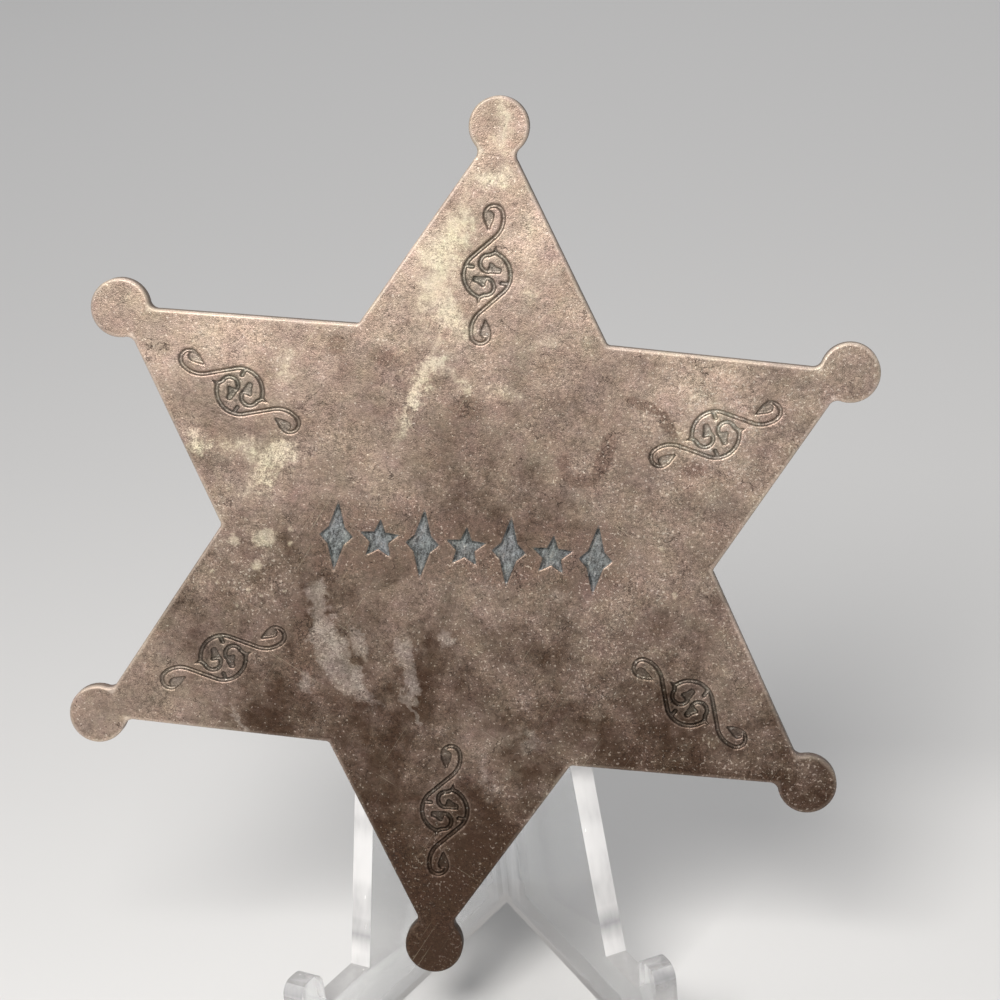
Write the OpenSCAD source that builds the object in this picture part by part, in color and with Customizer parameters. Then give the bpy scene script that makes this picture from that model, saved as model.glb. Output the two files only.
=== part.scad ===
// A six-pointed star badge that hangs by its pin on a clear V-shaped display easel.
// The star's face looks along -Y. The ground is at z = 0, with the origin in the middle
// of the space that the whole thing stands over.

/* [Star] */
// Distance from the star's centre to each inner corner
notch_radius = 21.3; // [18:0.1:25]
// Distance from the star's centre to where the straight sides of a point would meet
point_radius = 36.3; // [33:0.1:42]
// Thickness of the stamped plate
plate_thickness = 1.5; // [1:0.1:2.5]
// Diameter of the round disc that ends each point
disc_diameter = 5.1; // [4:0.1:6.5]
// How far the centre of a disc lies inside the meeting of its point's sides
disc_inset = 0.25; // [0:0.05:1.5]
// Radius that rounds the inner corners
notch_fillet = 0.5; // [0.2:0.1:1.5]
// Radius where a point's side runs into its disc
neck_fillet = 0.8; // [0.2:0.1:1.5]

/* [Stamping] */
// Depth of everything stamped into the face
stamp_depth = 0.3; // [0.1:0.05:0.6]
// Length of one scroll, along the point that carries it
scroll_length = 12.0; // [8:0.1:15]
// Distance from the star's centre to the middle of each scroll
scroll_distance = 23.6; // [20:0.1:25]
// Width of the scroll's grooves
groove_width = 0.38; // [0.2:0.02:0.6]

/* [Middle row] */
// Number of marks in the row across the middle
mark_count = 7; // [3:1:9]
// Distance from one mark to the next
mark_pitch = 3.75; // [3.2:0.05:5]
// Height of the tall lozenge marks
lozenge_height = 6.1; // [4:0.1:8]
// Width of the tall lozenge marks
lozenge_width = 2.9; // [2:0.1:3.2]
// Diameter around the small star marks
small_star_diameter = 3.6; // [2.5:0.1:4]

/* [Hanging] */
// How far the badge leans back from upright, in degrees
lean = 12; // [6:0.5:18]
// How far the star hangs askew, clockwise from the front, in degrees
star_turn = 9; // [0:0.5:15]
// How far the star hangs to the right of the easel's middle
star_offset = 1.2; // [0:0.1:2.5]
// Height of the lowest disc above the easel's ledges; below zero, it hangs down between them
disc_lift = -0.15; // [-2:0.05:3]

/* [Pin] */
// Length of the pin on the back, over both of its lugs
pin_length = 28; // [24:0.5:32]
// Diameter of the pin's wire
wire_diameter = 1.1; // [0.8:0.1:1.6]
// Distance from the plate's back to the near side of the wire
wire_standoff = 2.6; // [2:0.1:4]
// Distance from the star's centre up to the wire
pin_rise = 4; // [2:0.5:8]
// Length of each lug along the wire
lug_length = 3; // [2:0.1:4]
// Height of each lug across the wire
lug_height = 2.6; // [2:0.1:4]

/* [Easel] */
// Thickness of the easel's clear sides
sheet_thickness = 2; // [1.5:0.1:3]
// Distance between the two rails, where they rise from the ledges
rail_spacing = 23; // [20:0.5:26]
// Angle of each side from straight ahead, seen from above
splay = 27.5; // [22:0.5:32]
// Height of the ledges above the ground
ledge_height = 6; // [4.5:0.5:10]
// Length of each ledge, from its rail to its hook
ledge_length = 6.8; // [5.5:0.1:9]
// Thickness of each hook
hook_thickness = 3.2; // [2:0.1:4]
// Height of each hook above its ledge
hook_rise = 3.7; // [2.5:0.1:6]
// Diameter of the post where the two sides meet
post_diameter = 4.4; // [3:0.1:6]
// Height of the post
post_height = 34; // [25:0.5:40]
// Radius of the rounded corners of the sides
side_round = 1.2; // [0.5:0.1:1.5]

/* [Hidden] */
$fn = 48;

// Gap between pieces that lie against each other
seat_gap = 0.05;
// Extra length that a cutter reaches past the face that it cuts
cut_over = 0.1;
// How far a rounding circle cuts into the edges that it smooths, so that it crosses them cleanly
bite = 0.01;
// Points of the star
points = 6;
step = 360 / points;
half_step = step / 2;

disc_radius = disc_diameter / 2;
disc_distance = point_radius - disc_inset;
// One side of the point that lies along +X, from its inner corner to where the sides meet
notch = notch_radius * [cos(half_step), sin(half_step)];
side_run = point_radius - notch[0];
// Angle between a point's middle line and its side
side_angle = atan2(notch[1], side_run);

// Rounding of an inner corner, whose sides open by this angle from its middle line
notch_open = half_step + side_angle;
notch_tangent = notch_fillet / tan(notch_open);
notch_out = notch_fillet / sin(notch_open);

// Rounding of a neck: how far back along the side its circle lies from the disc's middle
neck_below = disc_inset * sin(side_angle);
neck_back = sqrt(pow(disc_radius + neck_fillet, 2) - pow(neck_below + neck_fillet, 2));
neck_touch = disc_radius / (disc_radius + neck_fillet);
// From the side's end: back along it, then out from it
neck_foot = disc_inset * cos(side_angle) + neck_back;
neck_side = [point_radius, 0] + turned([-neck_foot, 0], -side_angle);
neck_centre = [point_radius, 0] + turned([-neck_foot, neck_fillet], -side_angle);
neck_disc = [disc_distance, 0] + neck_touch * (neck_centre - [disc_distance, 0]);
// Corners of the side, from its disc to its inner corner, then of the whole point
side_corners = [neck_disc, neck_side, notch + turned([notch_tangent, 0], -side_angle)];
point_corners = concat([for (i = [2:-1:0]) flipped(side_corners[i])], side_corners);

// Height of the star's centre, from its lowest disc
hang_below = disc_distance * cos(star_turn) + disc_radius;
centre_z = ledge_height + disc_lift + hang_below * cos(lean) + plate_thickness * sin(lean);

wire_radius = wire_diameter / 2;
// Distance from the star's face back to the wire's middle line
wire_depth = plate_thickness + wire_standoff + wire_radius;

// Where the plate's back is at a height, measured in Y from the centre of the star's face
function back_y(z) = (z - centre_z) * tan(lean) + plate_thickness / cos(lean);

// The rails' front corners stand a seat gap behind the plate's back
rail_y = back_y(ledge_height) + seat_gap / cos(lean) + sheet_thickness / 2 * sin(splay);
// Distance along a side from its rail back to the post's middle
side_length = rail_spacing / 2 / sin(splay);
post_y = rail_y + side_length * cos(splay);
// How far a rail leans back along its side for each millimetre of height
rail_slope = tan(lean) / cos(splay);
// The wire rests on the tops of the sides
wire_z = centre_z + pin_rise * cos(lean) - wire_depth * sin(lean);
easel_height = wire_z - wire_radius - seat_gap;
front_reach = ledge_length + hook_thickness;

// The whole thing is centred between the front of its hooks and the back of its post
front_y = rail_y - front_reach * cos(splay) - sheet_thickness / 2 * sin(splay);
middle_y = (front_y + post_y + post_diameter / 2) / 2;

// Scroll shapes, in hundredths of the scroll's length from its middle, y towards the point.
// Columns: middle x, middle y, radius, first angle, last angle
SCROLL_ARCS = [
    [1.6, 42.5, 6.4, 15.7, 185],       // hook round the outer end
    [-9.4, 39.4, 17.8, -46.5, 15.7],   // hook's outer side, turning in
    [0.1, 0, 16.7, 134, 250],          // round the middle
    [0.5, 8.3, 6.0, 85, 272]];         // inner spiral
// Columns: start x, start y, end x, end y
SCROLL_LINES = [
    [2.9, 26.5, -11.5, 12.0],          // between the hook and the middle
    [1.0, 14.3, 4.4, 16.2],            // from the inner spiral to the spur
    [10.6, -5.0, 15.4, -5.2]];         // short tick inside the middle
// Sunk areas, each a closed outline
SCROLL_EYE = [[-0.6, 3.2], [0.7, 1.2], [9.2, 1.3], [10.2, 3.6], [9.3, 5.6], [6.2, 6.4], [4.4, 7.8], [2.4, 9.1],
              [1.0, 8.3], [0.6, 5.6]];
SCROLL_LEAF = [[-4.8, 41.6], [-3.6, 44.8], [-0.6, 45.2], [1.7, 43.2], [1.9, 40.2], [1.0, 37.0], [-0.2, 33.6],
               [-1.1, 30.8], [-2.4, 34.2], [-4.3, 38.2]];
SCROLL_SPUR = [[2.6, 15.6], [3.6, 18.4], [4.8, 21.4], [5.8, 17.9], [8.6, 14.4]];
// The point whose scroll is struck the other way round, counted to the left from the top one
mirrored_scroll = 1;

function on_circle(middle, radius, angle) = middle + radius * [cos(angle), sin(angle)];
function turned(p, angle) = [p[0] * cos(angle) - p[1] * sin(angle), p[0] * sin(angle) + p[1] * cos(angle)];
function flipped(p) = [p[0], -p[1]];

// A groove along part of a circle, with round ends that are a little wider than the groove
module arc_groove(middle, radius, first, last) {
    half = groove_width / 2;
    reach = 2 * (radius + half);
    wedge = [for (i = [0:4]) reach * [cos(first + (last - first) * i / 4), sin(first + (last - first) * i / 4)]];
    translate(middle) intersection() {
        difference() {
            circle(r = radius + half);
            circle(r = radius - half);
        }
        polygon(concat([[0, 0]], wedge));
    }
    for (angle = [first, last]) translate(on_circle(middle, radius, angle)) circle(r = 1.1 * half, $fn = 16);
}

// A straight groove between two points
module line_groove(start, end) {
    along = end - start;
    translate(start) rotate(atan2(along[1], along[0]))
        translate([0, -groove_width / 2]) square([norm(along), groove_width]);
}

// Half of a scroll; the other half is the same, turned round
module half_scroll() {
    unit = scroll_length / 100;
    for (a = SCROLL_ARCS) arc_groove(unit * [a[0], a[1]], unit * a[2], a[3], a[4]);
    for (l = SCROLL_LINES) line_groove(unit * [l[0], l[1]], unit * [l[2], l[3]]);
    for (area = [SCROLL_EYE, SCROLL_LEAF, SCROLL_SPUR]) polygon(unit * area);
}

module scroll() {
    for (turn = [0, 180]) rotate(turn) half_scroll();
}

// A small five-pointed star
module small_star() {
    outer = small_star_diameter / 2;
    inner = outer * 0.45;
    polygon([for (i = [0:9]) (i % 2 == 0 ? outer : inner) * [sin(i * 36), cos(i * 36)]]);
}

// A tall lozenge with hollow sides
module lozenge() {
    waist = 0.24;
    polygon([[0, lozenge_height / 2], [waist * lozenge_width, waist * lozenge_height / 2],
             [lozenge_width / 2, 0], [waist * lozenge_width, -waist * lozenge_height / 2],
             [0, -lozenge_height / 2], [-waist * lozenge_width, -waist * lozenge_height / 2],
             [-lozenge_width / 2, 0], [-waist * lozenge_width, waist * lozenge_height / 2]]);
}

// Tall lozenges and small stars by turns across the middle
module mark_row() {
    for (i = [0:mark_count - 1]) translate([(i - (mark_count - 1) / 2) * mark_pitch, 0]) {
        if (i % 2 == 0) lozenge();
        else small_star();
    }
}

// Everything that is stamped into the star's face
module stamping() {
    for (i = [0:points - 1]) rotate(i * step) translate([0, scroll_distance])
        mirror([i == mirrored_scroll ? 1 : 0, 0]) scroll();
    mark_row();
}

// The star's outline, with a point straight up. Its inner corners and the necks of its discs
// are cut off straight by the polygon, and the circles taken away then make them round.
module star_outline() {
    difference() {
        union() {
            polygon([for (i = [0:points - 1], p = point_corners) turned(p, 90 + i * step)]);
            for (i = [0:points - 1]) rotate(90 + i * step) translate([disc_distance, 0]) circle(r = disc_radius);
        }
        for (i = [0:points - 1]) rotate(90 + i * step) {
            rotate(half_step) translate([notch_radius + notch_out, 0]) circle(r = notch_fillet + bite, $fn = 32);
            for (flip = [0, 1]) mirror([0, flip, 0]) translate(neck_centre) circle(r = neck_fillet + bite, $fn = 32);
        }
    }
}

// Puts the star's face frame in place: x to the right, y up the face, z out of it
module on_face(turn = 0) {
    translate([0, -middle_y, centre_z]) rotate([90 - lean, 0, 0]) rotate(-turn) children();
}

module star_plate() {
    color([0.50, 0.41, 0.34]) on_face(star_turn) difference() {
        translate([0, 0, -plate_thickness]) linear_extrude(plate_thickness) star_outline();
        translate([0, 0, -stamp_depth]) linear_extrude(stamp_depth + cut_over) stamping();
    }
}

// A plain brooch pin in one piece: two lugs on the plate's back and a wire between them
module pin_back() {
    lug_depth = wire_depth + wire_radius - plate_thickness - seat_gap;
    color([0.55, 0.50, 0.44]) on_face() translate([0, pin_rise, 0]) {
        translate([-pin_length / 2, 0, -wire_depth]) rotate([0, 90, 0]) cylinder(r = wire_radius, h = pin_length);
        for (side = [-1, 1]) translate([side * (pin_length - lug_length) / 2, 0, -plate_thickness - seat_gap])
            translate([-lug_length / 2, -lug_height / 2, -lug_depth]) cube([lug_length, lug_height, lug_depth]);
    }
}

function arc_points(middle, radius, first, last, count = 6) =
    [for (i = [0:count]) on_circle(middle, radius, first + (last - first) * i / count)];

// One side of the easel, drawn with x forward along it from the foot of its rail and y up
module side_outline() {
    top_front = -rail_slope * (easel_height - ledge_height);
    // The top stays level behind the wire, then falls to the post
    level_end = top_front - 2 * wire_standoff;
    hook_top = ledge_height + hook_rise;
    r = side_round;
    polygon(concat(
        [[-side_length, 0]],
        arc_points([front_reach - r, r], r, -90, 0),
        arc_points([front_reach - r, hook_top - r], r, 0, 90),
        arc_points([ledge_length + r, hook_top - r], r, 90, 180),
        arc_points([ledge_length - r, ledge_height + r], r, 0, -90),
        [[0, ledge_height], [top_front, easel_height], [level_end, easel_height],
         [-side_length, post_height]]));
}

module display_easel() {
    color([0.86, 0.89, 0.90, 0.5]) translate([-star_offset, -middle_y, 0]) {
        for (flip = [0, 1]) mirror([flip, 0, 0]) translate([rail_spacing / 2, rail_y, 0])
            rotate([0, 0, splay - 90]) rotate([90, 0, 0])
                translate([0, 0, -sheet_thickness / 2]) linear_extrude(sheet_thickness) side_outline();
        translate([0, post_y, 0]) cylinder(d = post_diameter, h = post_height);
    }
}

star_plate();
pin_back();
display_easel();
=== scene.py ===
import math

import bpy
import numpy as np
from mathutils import Matrix, Vector, noise


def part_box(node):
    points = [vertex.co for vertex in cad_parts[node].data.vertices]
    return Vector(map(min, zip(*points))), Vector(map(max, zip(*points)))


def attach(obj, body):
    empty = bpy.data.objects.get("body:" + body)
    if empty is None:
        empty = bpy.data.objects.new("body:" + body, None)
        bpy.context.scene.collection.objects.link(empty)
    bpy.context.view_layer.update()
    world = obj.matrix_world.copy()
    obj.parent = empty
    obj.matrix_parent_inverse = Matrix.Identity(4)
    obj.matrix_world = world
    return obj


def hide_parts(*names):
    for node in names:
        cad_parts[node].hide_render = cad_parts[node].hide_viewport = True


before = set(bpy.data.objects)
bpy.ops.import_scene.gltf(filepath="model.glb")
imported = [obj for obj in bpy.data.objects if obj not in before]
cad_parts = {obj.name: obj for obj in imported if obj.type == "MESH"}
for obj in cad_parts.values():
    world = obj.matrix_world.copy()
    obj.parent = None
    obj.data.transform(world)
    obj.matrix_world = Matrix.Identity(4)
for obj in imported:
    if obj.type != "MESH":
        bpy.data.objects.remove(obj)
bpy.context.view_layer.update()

bl_info = {
    "name": "Star badge on a display easel",
    "version": (1, 0, 0),
    "blender": (4, 5, 0),
    "location": "View3D > Sidebar > Star Badge",
    "description": "Makes the aged star badge, its pin, its clear easel and their stage",
    "category": "Object",
}

MM = 0.001
# How many points the star has, and the turn from one to the next
POINTS = 6
STEP = math.tau / POINTS
# How strongly the clear plastic bends light
PLASTIC_IOR = 1.49

# Places closer than this count as the same
NEAR = 0.01 * MM
# Grid steps of the stamped scrolls and marks
SCROLL_CELL = 0.076 * MM
MARK_CELL = 0.1 * MM
# A stamped wall starts this far outside its outline, and is this wide
WALL_OUTSIDE = 0.03 * MM
WALL_WIDTH = 0.13 * MM
# What the struck attribute reads on an outline. It rises by one for each mm inwards
OUTLINE_LEVEL = 0.3
# A stain or spot fades out at this many times its half width or radius
MARK_REACH = 1.6
# Half depth of a stain in mm, so large that it runs right through the plate
ANY_DEPTH = 1000

# Scroll shapes, in hundredths of the scroll's length from its middle, y towards the point.
# Columns: middle x, middle y, radius, first angle, last angle in degrees
SCROLL_ARCS = [
    (1.6, 42.5, 6.4, 15.7, 185),
    (-9.4, 39.4, 17.8, -46.5, 15.7),
    (0.1, 0, 16.7, 134, 250),
    (0.5, 8.3, 6.0, 85, 272),
]
# Columns: start x, start y, end x, end y
SCROLL_LINES = [
    (2.9, 26.5, -11.5, 12.0),
    (1.0, 14.3, 4.4, 16.2),
    (10.6, -5.0, 15.4, -5.2),
]
# Closed outlines, as x and y
SCROLL_EYE = [
    (-0.6, 3.2), (0.7, 1.2), (9.2, 1.3), (10.2, 3.6), (9.3, 5.6),
    (6.2, 6.4), (4.4, 7.8), (2.4, 9.1), (1.0, 8.3), (0.6, 5.6),
]
SCROLL_LEAF = [
    (-6.3, 41.6), (-3.6, 44.8), (-0.6, 45.2), (1.7, 43.2), (1.9, 40.2),
    (1.0, 37.0), (-0.2, 33.6), (-1.1, 30.4), (-3.5, 34.4), (-5.6, 38.4),
]
SCROLL_SPUR = [(2.6, 15.6), (3.6, 18.4), (4.8, 21.4), (5.8, 17.9), (8.6, 14.4)]

# Marks on the star's face, in mm from its middle with the first point up.
# Columns of the stains and tones: x, y, half width, half height, turn in degrees, strength
CREAM_STAINS = [
    (0.4, 36.6, 0.9, 3.4, 6, 0.8),
    (-0.4, 31.6, 2.8, 0.9, 10, 0.8),
    (-2.4, 28.0, 1.3, 2.1, -30, 0.8),
    (-5.2, 25.4, 1.0, 1.4, -20, 0.7),
    (-4.2, 22.6, 1.4, 3.9, -12, 1.0),
    (-2.6, 19.8, 1.2, 2.2, 20, 0.8),
    (3.3, 28.0, 0.9, 2.4, 12, 0.6),
    (3.4, 22.6, 0.8, 2.2, 0, 0.5),
    (5.0, 18.0, 2.0, 1.2, 0, 0.4),
    (-5.0, 13.4, 0.6, 5.0, -20, 0.9),
    (-2.0, 14.6, 2.6, 0.6, -14, 0.6),
    (2.3, 13.5, 1.5, 0.8, 0, 0.6),
    (-16.6, 14.4, 1.0, 1.6, 10, 0.6),
    (-15.5, 18.2, 4.0, 0.9, -4, 0.4),
    (-23.7, 7.2, 1.1, 1.0, 20, 0.9),
    (-22.0, 4.6, 0.5, 1.4, 30, 0.4),
    (-19.0, 7.0, 2.8, 1.2, 4, 0.65),
    (-16.2, 6.6, 1.6, 1.2, 30, 0.7),
    (-18.2, 4.2, 1.2, 1.8, 10, 0.7),
    (-19.4, 2.4, 0.9, 1.1, 0, 0.55),
]
PALE_STAINS = [
    (-12.6, -4.9, 0.9, 1.2, 20, 0.8),
    (-12.2, -7.6, 1.1, 1.5, 10, 0.9),
    (-10.6, -10.6, 1.5, 2.8, 20, 1.0),
    (-8.6, -9.2, 0.5, 1.8, 30, 0.9),
    (-8.4, -12.6, 0.7, 1.4, 30, 0.8),
    (-7.8, -14.4, 1.5, 0.8, -25, 0.5),
    (-4.6, -9.4, 0.9, 1.2, 0, 0.9),
    (-3.9, -12.4, 0.7, 1.7, 6, 1.0),
    (-3.1, -15.4, 0.3, 1.2, 20, 0.9),
    (-12.8, -13.6, 0.7, 1.9, 24, 0.7),
    (-1.0, -8.2, 0.8, 1.0, 0, 0.7),
    (8.4, -3.2, 1.4, 0.8, -20, 0.5),
    (6.6, -15.8, 1.2, 2.2, 20, 0.5),
    (3.4, -20.2, 1.1, 3.0, 25, 0.5),
    (-18.5, -17.5, 0.3, 1.6, 30, 0.9),
]
BROWN_STAINS = [
    (7.9, 8.1, 0.6, 1.0, 0, 0.8),
    (9.2, 6.7, 1.2, 0.6, 0, 1.0),
    (11.2, 8.9, 0.6, 1.9, -15, 1.4),
    (14.2, 13.7, 1.5, 0.4, -15, 1.4),
    (16.4, 12.2, 0.45, 1.2, 35, 1.2),
    (18.8, 8.6, 1.3, 0.8, 10, 0.8),
    (-12.3, 16.7, 1.0, 1.0, 0, 0.8),
    (-8.3, 15.8, 1.4, 0.9, -20, 0.8),
    (-0.7, 12.2, 1.5, 0.9, 0, 0.7),
    (-2.1, 9.6, 6.0, 2.6, -8, 0.4),
    (-13.6, -9.0, 0.8, 3.2, 12, 0.9),
    (-14.2, -12.2, 1.4, 1.2, 0, 0.6),
]
# Broad paler and darker places. Columns: x, y, radius, strength
TONES = [
    (-30.0, -17.5, 8.0, 0.40),
    (-23.0, -12.0, 5.0, 0.03),
    (21.0, 11.0, 8.5, 0.17),
    (5.0, -15.5, 5.0, 0.12),
    (20.0, -3.0, 6.0, 0.12),
    (0.0, 36.5, 5.5, -0.30),
    (1.5, 7.5, 6.5, -0.13),
    (24.0, -14.0, 8.0, -0.11),
    (-3.0, -21.5, 5.0, 0.13),
    (0.0, -35.0, 6.0, -0.26),
    (9.0, -8.0, 5.0, -0.03),
    (-13.0, -17.0, 5.0, -0.04),
    (26.0, -11.0, 4.5, 0.20),
    (-2.5, 29.5, 4.0, -0.12),
]
# Places where the light specks crowd. Columns: x, y, radius, strength
GRITTY = [
    (-17.5, -4.0, 3.5, 0.16),
    (19.0, 9.0, 7.0, 0.07),
    (24.0, 15.0, 5.0, 0.05),
    (14.0, -7.0, 5.0, 0.06),
    (3.0, -10.0, 5.0, 0.05),
]
# Crisp cream spots. Columns: x, y, radius, strength
SPOTS = [
    (-20.1, -1.3, 0.65, 0.9),
    (-17.8, -0.9, 0.8, 1.1),
    (-17.0, -0.7, 0.7, 0.9),
    (-18.0, -3.3, 0.5, 1.1),
    (-15.2, 0.1, 0.35, 0.7),
    (-15.2, -1.1, 0.3, 0.8),
    (-21.2, 2.2, 0.5, 0.5),
    (-19.3, 0.7, 0.5, 0.5),
    (-21.8, -4.2, 0.25, 0.9),
    (-21.3, -5.1, 0.2, 0.8),
    (-18.6, -5.6, 0.3, 0.8),
    (-17.4, -5.9, 0.25, 0.8),
    (-19.5, -7.0, 0.25, 0.7),
    (-15.4, -5.3, 0.2, 0.8),
    (18.3, -2.4, 0.3, 1.1),
    (16.9, 1.5, 0.3, 0.7),
]


class BadgeSettings(bpy.types.PropertyGroup):
    """Sizes and colours of the star plate and its pin."""

    plate_thickness: bpy.props.FloatProperty(
        name="Plate thickness", description="Thickness of the stamped plate",
        default=1.5 * MM, unit="LENGTH", precision=5)
    point_radius: bpy.props.FloatProperty(
        name="Point radius",
        description="From the star's centre to where a point's straight sides would meet",
        default=36.3 * MM, unit="LENGTH", precision=5)
    notch_radius: bpy.props.FloatProperty(
        name="Notch radius", description="From the star's centre to its inner corners",
        default=21.3 * MM, unit="LENGTH", precision=5)
    disc_diameter: bpy.props.FloatProperty(
        name="Disc diameter", description="Diameter of the round disc that ends each point",
        default=5.1 * MM, unit="LENGTH", precision=5)
    disc_inset: bpy.props.FloatProperty(
        name="Disc inset",
        description="How far a disc's centre lies inside the meeting of its point's sides",
        default=0.25 * MM, unit="LENGTH", precision=5)
    lean: bpy.props.FloatProperty(
        name="Lean", description="How far the badge leans back from upright",
        default=math.radians(12), subtype="ANGLE")
    star_turn: bpy.props.FloatProperty(
        name="Star turn", description="How far the star hangs askew, clockwise from the front",
        default=math.radians(9), subtype="ANGLE")
    rim_round: bpy.props.FloatProperty(
        name="Rim rounding", description="Radius of the worn rim round the face",
        default=0.22 * MM, unit="LENGTH", precision=5)
    back_round: bpy.props.FloatProperty(
        name="Back rounding", description="Radius of the rim round the back",
        default=0.2 * MM, unit="LENGTH", precision=5)
    stamp_depth: bpy.props.FloatProperty(
        name="Stamp depth", description="Depth of everything stamped into the face",
        default=0.3 * MM, unit="LENGTH", precision=5)
    scroll_length: bpy.props.FloatProperty(
        name="Scroll length", description="Length of one scroll, along the point that carries it",
        default=12.0 * MM, unit="LENGTH", precision=5)
    scroll_distance: bpy.props.FloatProperty(
        name="Scroll distance", description="From the star's centre to the middle of each scroll",
        default=23.6 * MM, unit="LENGTH", precision=5)
    mirrored_scroll: bpy.props.IntProperty(
        name="Mirrored scroll",
        description="Which point's scroll is struck the other way round, leftwards from the top",
        default=1, min=0, max=5)
    groove_width: bpy.props.FloatProperty(
        name="Groove width", description="Width of the scroll's grooves",
        default=0.38 * MM, unit="LENGTH", precision=5)
    mark_count: bpy.props.IntProperty(
        name="Marks", description="Number of marks in the row across the middle", default=7, min=1)
    mark_pitch: bpy.props.FloatProperty(
        name="Mark pitch", description="Distance from one mark to the next",
        default=3.75 * MM, unit="LENGTH", precision=5)
    lozenge_height: bpy.props.FloatProperty(
        name="Lozenge height", description="Height of the tall lozenge marks",
        default=6.1 * MM, unit="LENGTH", precision=5)
    lozenge_width: bpy.props.FloatProperty(
        name="Lozenge width", description="Width of the tall lozenge marks",
        default=2.9 * MM, unit="LENGTH", precision=5)
    small_star_diameter: bpy.props.FloatProperty(
        name="Small star diameter", description="Diameter around the small star marks",
        default=3.6 * MM, unit="LENGTH", precision=5)
    pin_round: bpy.props.FloatProperty(
        name="Pin rounding", description="Radius of the pin's worn edges",
        default=0.22 * MM, unit="LENGTH", precision=5)
    bronze: bpy.props.FloatVectorProperty(
        name="Bronze", description="The plate's usual brown",
        default=(0.262, 0.192, 0.150), subtype="COLOR")
    # On the upper points this pale brown is partly painted light.
    pale_bronze: bpy.props.FloatVectorProperty(
        name="Pale bronze", description="Rubbed metal on the upper points",
        default=(0.52, 0.395, 0.312), subtype="COLOR")
    # On the lower points this dark brown is partly painted shade.
    dark_bronze: bpy.props.FloatVectorProperty(
        name="Dark bronze", description="The darkest brown, on the lower points",
        default=(0.063, 0.034, 0.020), subtype="COLOR")
    red_brown: bpy.props.FloatVectorProperty(
        name="Red brown", description="Warm blotches and stains in the brown",
        default=(0.155, 0.098, 0.073), subtype="COLOR")
    cream: bpy.props.FloatVectorProperty(
        name="Cream", description="Powdery yellowish stains",
        default=(0.56, 0.485, 0.36), subtype="COLOR")
    pale_grey: bpy.props.FloatVectorProperty(
        name="Pale grey", description="Greyish run stains",
        default=(0.38, 0.325, 0.28), subtype="COLOR")
    # On the rim this colour is partly a painted highlight.
    grit: bpy.props.FloatVectorProperty(
        name="Grit", description="Light specks all over the face, and the rubbed rim",
        default=(0.70, 0.59, 0.49), subtype="COLOR")
    pit: bpy.props.FloatVectorProperty(
        name="Pit", description="Nearly black brown in the pits and cracks",
        default=(0.035, 0.022, 0.016), subtype="COLOR")
    dirt: bpy.props.FloatVectorProperty(
        name="Dirt", description="Tint that the dirt in the grooves lays over the brown",
        default=(0.64, 0.76, 0.80), subtype="COLOR")
    hollow_grey: bpy.props.FloatVectorProperty(
        name="Hollow grey", description="Bluish grey left in the middle row",
        default=(0.126, 0.136, 0.137), subtype="COLOR")


class EaselSettings(bpy.types.PropertyGroup):
    """Sizes and colours of the clear easel, with the painted glow of its cut edges."""

    edge_round: bpy.props.FloatProperty(
        name="Edge rounding", description="Radius of the easel's softened edges",
        default=0.14 * MM, unit="LENGTH", precision=5)
    ledge_height: bpy.props.FloatProperty(
        name="Ledge height", description="Height of the ledges' tops, where the bright rails begin",
        default=6.0 * MM, unit="LENGTH", precision=5)
    splay: bpy.props.FloatProperty(
        name="Splay", description="Angle of each side from straight ahead, seen from above",
        default=math.radians(27.5), subtype="ANGLE")
    post_depth: bpy.props.FloatProperty(
        name="Post depth", description="Depth of the post behind, in which the sides meet",
        default=5.0 * MM, unit="LENGTH", precision=5)
    # The dim band is painted shade in the rails' painted glow.
    dim_height: bpy.props.FloatProperty(
        name="Dim band height", description="Height of the dim band across the bright rails",
        default=8.8 * MM, unit="LENGTH", precision=5)
    dim_reach: bpy.props.FloatProperty(
        name="Dim band reach", description="How far the dim band fades out up and down",
        default=1.6 * MM, unit="LENGTH", precision=5)
    clear: bpy.props.FloatVectorProperty(
        name="Clear plastic", description="Tint of the clear faces",
        default=(0.94, 0.96, 0.97), subtype="COLOR")
    # This colour and the two dim ones below are painted light along the cut edges.
    frosted_and_glow: bpy.props.FloatVectorProperty(
        name="Frosted edge", description="Colour and glow of a cut edge where it is bright",
        default=(0.76, 0.745, 0.735), subtype="COLOR")
    dim_edge: bpy.props.FloatVectorProperty(
        name="Dim edge", description="Colour of a cut edge where it is dim",
        default=(0.33, 0.33, 0.34), subtype="COLOR")
    dim_glow: bpy.props.FloatVectorProperty(
        name="Dim glow", description="Glow of a cut edge where it is dim",
        default=(0.03, 0.03, 0.035), subtype="COLOR")


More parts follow.
